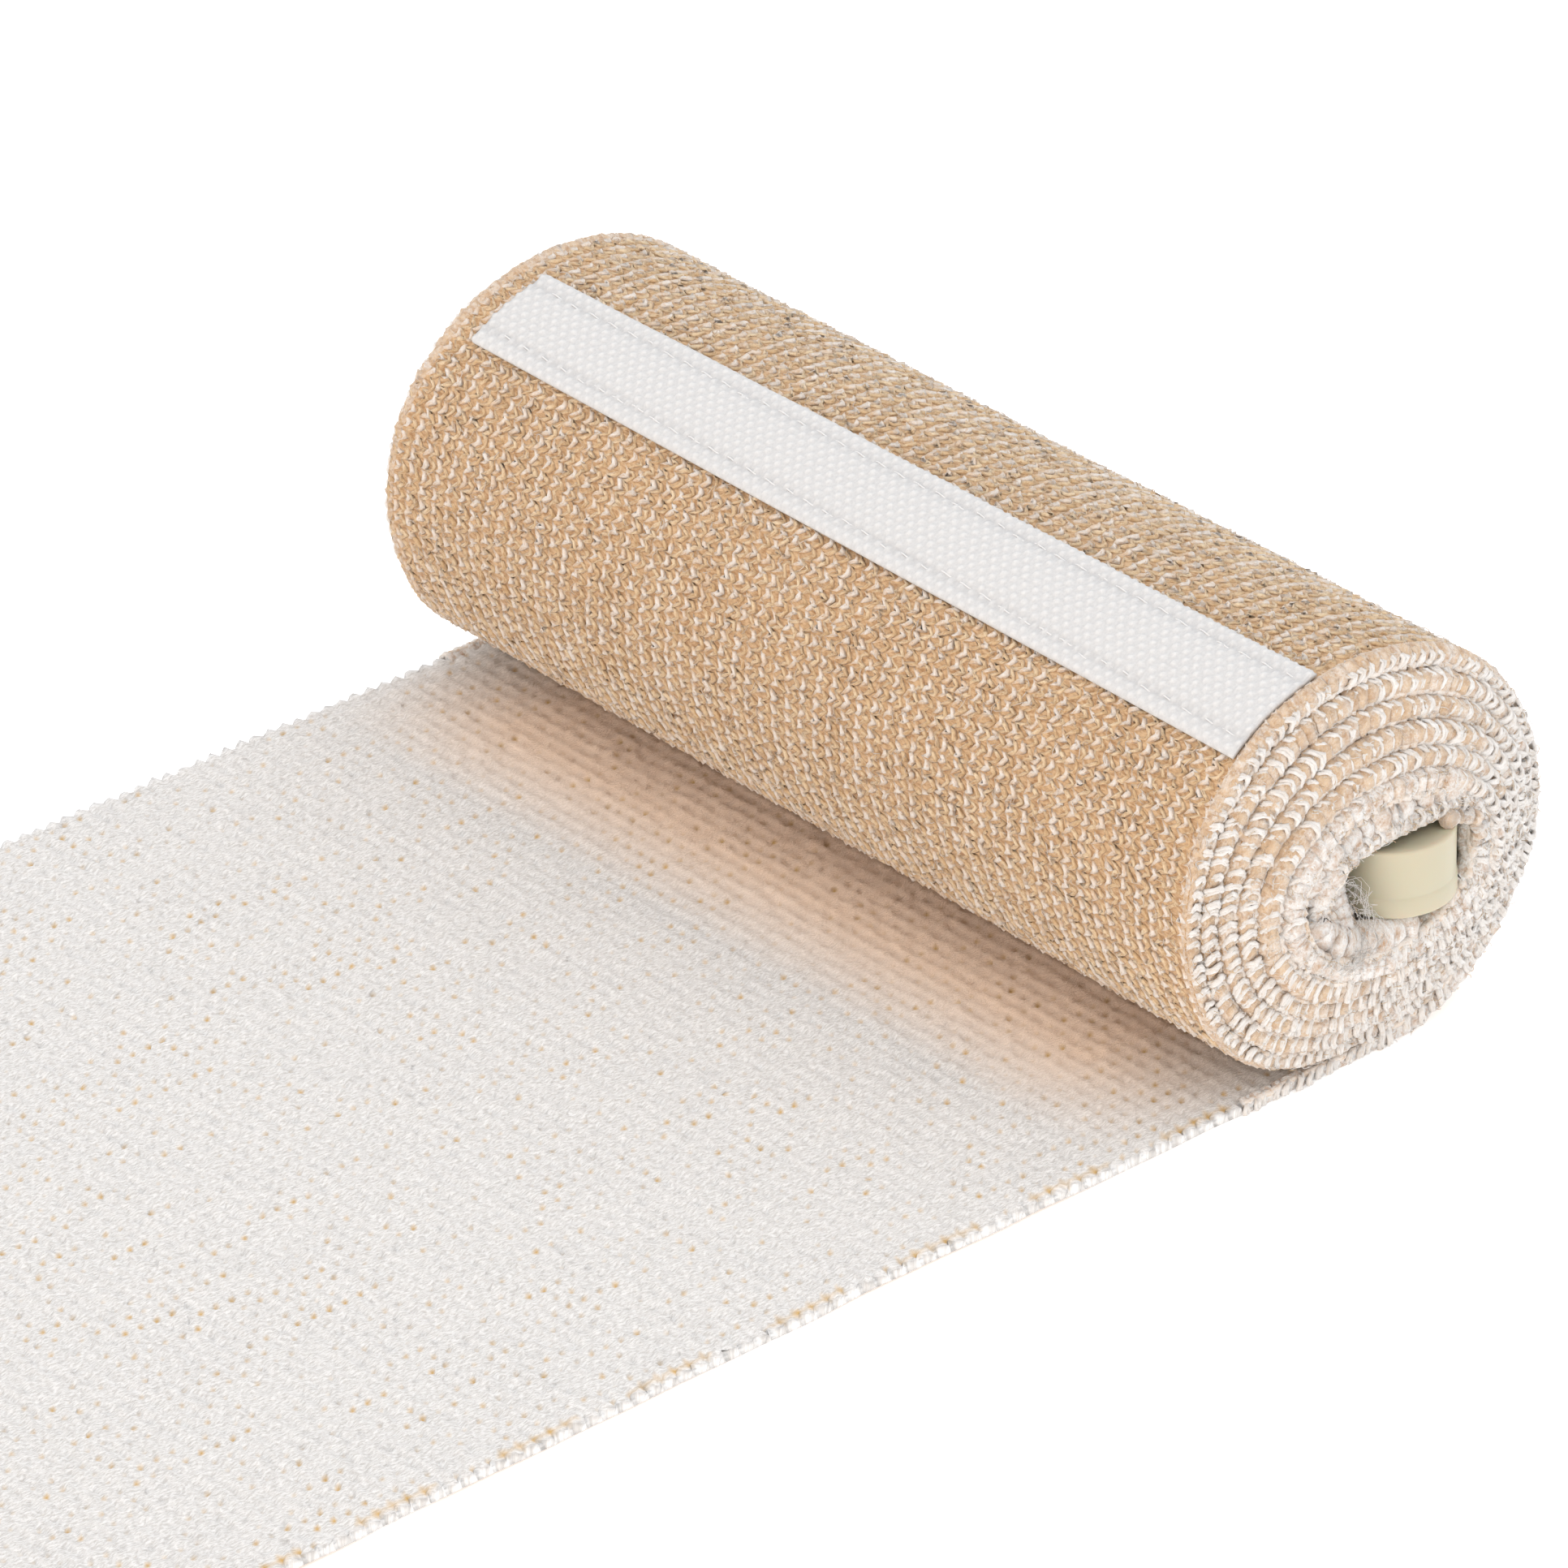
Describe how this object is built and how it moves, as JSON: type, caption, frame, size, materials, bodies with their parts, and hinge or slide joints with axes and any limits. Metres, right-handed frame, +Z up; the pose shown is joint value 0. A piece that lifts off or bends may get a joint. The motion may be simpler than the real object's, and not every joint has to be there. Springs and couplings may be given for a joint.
{
  "type": "emergency pressure bandage",
  "caption": "Elastic knit bandage rolled round a plastic closure bar, loose tail lying flat, hook tape across the roll.",
  "frame": {"origin": "middle of the bounding box, on the surface that the bandage lies on", "axes": "+Z up; the roll's axis runs along Y, its closure bar stands out towards -Y, and the loose tail points to -X"},
  "size_m": [0.1586, 0.1044, 0.0355],
  "materials": {
    "elastic_knit": "matt, fuzzy knit, tan with off-white stitches outside and off-white inside",
    "bar_plastic": "satin, slightly translucent moulded plastic",
    "hook_tape": "white woven nylon tape with small hooks"
  },
  "bodies": {
    "root": {"bandage": "elastic_knit", "closure_bar": "bar_plastic", "fastening_tape": "hook_tape"}
  },
  "joints": []
}
